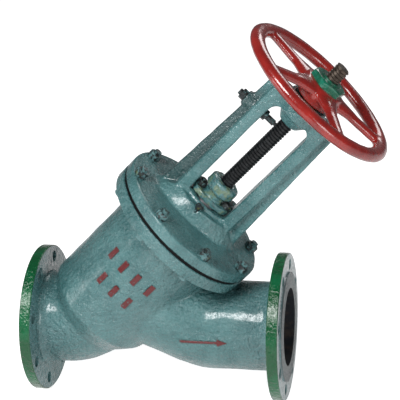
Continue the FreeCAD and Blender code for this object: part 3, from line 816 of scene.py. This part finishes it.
# %% [markdown]
# The stem
#
# The stem is dark oiled steel, threaded from the gland to its tip. Above the wheel the oil has
# wiped off and the steel shows brown and grey. Its lower end, with the head inside the disc, is the
# plain CAD rod, cut off where the thread starts.

# %% Stem
THREAD_LOW = 0.404
THREAD_DEPTH = 0.0021
STEM_RADIUS = rod_radius("stem", 0.01)


def stem_steel():
    steel = Finish("stem_steel", Specular_IOR_Level=0.5)
    height = steel.split(steel.on_stem)["Z"]
    oil = steel.noise(0.008, 4.0, 0.6)
    fine = steel.noise(0.0012, 2.0, 0.5)
    tip = height.above(along_stem("wheel_nut")[1].z - 0.002, 0.004)
    black = steel.mix(rgb(0.006, 0.007, 0.008), rgb(0.022, 0.024, 0.026), oil.above(0.45, 0.2))
    brown = steel.mix(rgb(0.130, 0.105, 0.085), rgb(0.055, 0.042, 0.034), oil.above(0.42, 0.2))
    steel.bump(fine + oil, 0.0002)
    steel.wear(Base_Color=steel.mix(black, brown, tip), Metallic=tip * 0.45 + 0.35,
               Roughness=oil * 0.25 + 0.25 + tip * 0.1)
    return steel.material


def threaded_stem():
    _, high = along_stem("stem")
    rod = cut_away(copy_of("stem"), Vector((0, 0, THREAD_LOW)), Vector((0, 0, 1)))
    screw = thread(STEM_RADIUS, THREAD_DEPTH, THREAD_PITCH, THREAD_LOW, high.z, -1)
    stem = add_to(crease(rod), crease(screw, THREAD_CREASE))
    stem.transform(LEAN)
    return finished(stem, "threaded_stem", "stem", "stem_steel", stem_steel(), "stem")


print("stem radius", round(STEM_RADIUS, 4))
threaded_stem()


# %% [markdown]
# Bolts, studs and nuts
#
# The fasteners are plain steel that caught some of the spray: blue-grey in patches, and all over
# on the bonnet bolts below the gasket, dark steel elsewhere, and here and there a smear of
# yellow-green primer. Every bolt end above its nut gets a real thread.

# %% Fastener steel
def fastener_steel(name, painted, sprayed_below=0.0):
    steel = Finish(name, Specular_IOR_Level=0.5, Coat_Roughness=0.2)
    patch = steel.noise(0.006, 3.0, 0.6)
    smear = steel.noise(0.014, 3.0, 0.7)
    fine = steel.noise(0.0016, 3.0, 0.6)
    iron = steel.mix(rgb(0.020, 0.024, 0.026), rgb(0.085, 0.095, 0.095), fine.above(0.4, 0.3))
    sprayed = steel.split(steel.on_stem)["Z"].below(sprayed_below, 0.001)
    coat = (patch.above(1.0 - painted, 0.06) + sprayed).clamped()
    colour = steel.mix(iron, steel.mix(ENAMEL_THICK, ENAMEL_THIN, fine), coat)
    colour = steel.mix(colour, STAIN, smear.above(0.62, 0.05) * 0.6)
    steel.bump(fine + patch, 0.0003)
    steel.wear(Base_Color=colour, Roughness=fine * 0.3 + 0.22, Metallic=(1.0 - coat) * 0.6,
               Coat_Weight=coat * 0.4)
    return steel.material


bolt_steel = fastener_steel("bolt_steel", 0.53, cover_low)
dark_steel = fastener_steel("gland_steel", 0.44)


# %% Bolts with real threads
def threaded_ends(node, name, pitch, start, material):
    """The CAD solids below start, and a real thread from there to each tip."""
    radius = rod_radius(node, 0.003)
    bar = crease(cut_away(copy_of(node), Vector((0, 0, start)), Vector((0, 0, 1))))
    for x, y, _, high in pieces_of(node):
        screw = thread(radius, pitch * 0.45, pitch, start, high)
        screw.transform(Matrix.Translation((x, y, 0)))
        add_to(bar, crease(screw, THREAD_CREASE))
    bar.transform(LEAN)
    return finished(bar, name, "valve_body", "bolt_steel", material, node)


nut_top = along_stem("bonnet_nuts")[1].z
gland_nut_top = along_stem("gland_nuts")[1].z
THREAD_STARTS = 0.001
threaded_ends("bonnet_bolts", "bonnet_bolts_threaded", 0.002, nut_top - THREAD_STARTS, bolt_steel)
threaded_ends("gland_studs", "gland_studs_threaded", 0.00175, gland_nut_top - THREAD_STARTS,
              dark_steel)


# %% [markdown]
# Nuts
#
# A nut's edges are never quite sharp, and the soft edge is what catches the light. The flat faces
# of the CAD nut are joined back into single faces, then every steep edge gets a small round.

# %% Rounded nuts
def rounded(node, name, body, slot, material, size):
    shape = copy_of(node)
    bmesh.ops.dissolve_limit(shape, angle_limit=math.radians(1.5), verts=shape.verts,
                             edges=shape.edges)
    steep = [e for e in shape.edges if e.calc_face_angle(0.0) > math.radians(24)]
    bmesh.ops.bevel(shape, geom=steep, offset=size, offset_type="OFFSET", affect="EDGES",
                    segments=2, profile=0.5, material=-1, clamp_overlap=True)
    shape.transform(LEAN)
    return finished(crease(shape, math.radians(40)), name, body, slot, material, node)


def nut_enamel():
    paint = Finish("nut_enamel", Specular_IOR_Level=0.5, Coat_Roughness=0.1)
    cloud = paint.noise(0.02, 3.0, 0.6)
    sag = paint.noise(0.005, 2.0, 0.5)
    colour = paint.mix(rgb(0.001, 0.085, 0.045), rgb(0.008, 0.170, 0.105), cloud.above(0.4, 0.2))
    chips = paint.noise(0.006, 4.0, 0.7).above(0.68, 0.04)
    colour = paint.mix(colour, rgb(0.16, 0.18, 0.17), chips)
    paint.bump(sag, 0.0006)
    paint.wear(Base_Color=colour, Roughness=sag * 0.2 + 0.16, Coat_Weight=0.6)
    return paint.material


rounded("wheel_nut", "wheel_nut_rounded", "handwheel_set", "nut_green", nut_enamel(), 0.0012)
rounded("bonnet_nuts", "bonnet_nuts_rounded", "valve_body", "bolt_steel", bolt_steel, 0.0005)
rounded("gland_nuts", "gland_nuts_rounded", "valve_body", "bolt_steel", dark_steel, 0.0004)
rounded("guide_screw_nuts", "guide_nuts_rounded", "valve_body", "bolt_steel", dark_steel, 0.0004)
rounded("stuffing_box_plug", "box_plug_rounded", "valve_body", "bolt_steel", dark_steel, 0.0004)


# %% [markdown]
# The parts that stay as CAD drew them
#
# Seat, disc, bushes, washers, key, packing and gasket are turned or stamped, and their CAD shapes
# are right. They get metals of their own: bronze with lathe rings, dull machined iron, ground
# stainless, and the black of graphite sheet.

# %% Turned metals and graphite
LATHE_RING = 0.0011


def turned(name, dark, light, metal, roughness):
    """A lathe-turned metal with fine rings about the stem."""
    finish = Finish(name, Specular_IOR_Level=0.5)
    at = finish.split(finish.on_stem)
    radius = (at["X"] * at["X"] + at["Y"] * at["Y"]).root()
    rings = ((radius + at["Z"]) * (2 * math.pi / LATHE_RING)).sine() * 0.5 + 0.5
    stain = finish.noise(0.012, 4.0, 0.6)
    fine = finish.noise(0.0015, 2.0, 0.5)
    finish.bump(rings * 0.5 + fine * 0.5, 0.00008)
    finish.wear(Base_Color=finish.mix(dark, light, stain.above(0.35, 0.3)), Metallic=metal,
                Roughness=stain * 0.15 + rings * 0.05 + roughness)
    return finish.material


def graphite():
    finish = Finish("graphite", Specular_IOR_Level=0.12)
    weave = finish.noise(0.0014, 3.0, 0.7)
    finish.bump(weave, 0.0002)
    finish.wear(Base_Color=finish.mix(rgb(0.002, 0.002, 0.002), rgb(0.008, 0.008, 0.009), weave),
                Roughness=weave * 0.2 + 0.5)
    return finish.material


def sleeve_bronze():
    """Bronze below, and the wheel nut's green enamel on the end that stands out of the nut."""
    finish = Finish("sleeve_bronze", Specular_IOR_Level=0.5)
    top = finish.split(finish.on_stem)["Z"].above(along_stem("wheel_nut")[1].z - 0.004, 0.001)
    stain = finish.noise(0.012, 4.0, 0.6)
    metal = finish.mix(rgb(0.22, 0.14, 0.06), rgb(0.42, 0.29, 0.13), stain)
    green = finish.mix(rgb(0.003, 0.090, 0.050), rgb(0.020, 0.060, 0.040), stain.above(0.45, 0.1))
    finish.bump(stain, 0.0003)
    finish.wear(Base_Color=finish.mix(metal, green, top), Metallic=0.85 - top * 0.85,
                Roughness=stain * 0.2 + 0.25)
    return finish.material


bronze = turned("bronze", rgb(0.30, 0.19, 0.08), rgb(0.52, 0.36, 0.17), 0.9, 0.28)
machined_iron = turned("machined_iron", rgb(0.12, 0.12, 0.13), rgb(0.26, 0.26, 0.27), 0.8, 0.34)
stainless = turned("stainless", rgb(0.40, 0.40, 0.41), rgb(0.58, 0.58, 0.59), 0.95, 0.2)
black_graphite = graphite()
KEPT = {
    bronze: ("seat_ring", "backseat_bush", "thrust_washers"),
    sleeve_bronze(): ("yoke_sleeve",),
    machined_iron: ("valve_disc", "disc_retainer", "gland_follower"),
    stainless: ("disc_facing",),
    black_graphite: ("bonnet_gasket", "packing_rings"),
    dark_steel: ("sleeve_ring_nut", "wheel_key", "guide_screw"),
}
for material, names in KEPT.items():
    for name in names:
        for place in nodes[name].material_slots:
            place.material = material
print(sum(len(names) for names in KEPT.values()), "CAD nodes keep their shape")
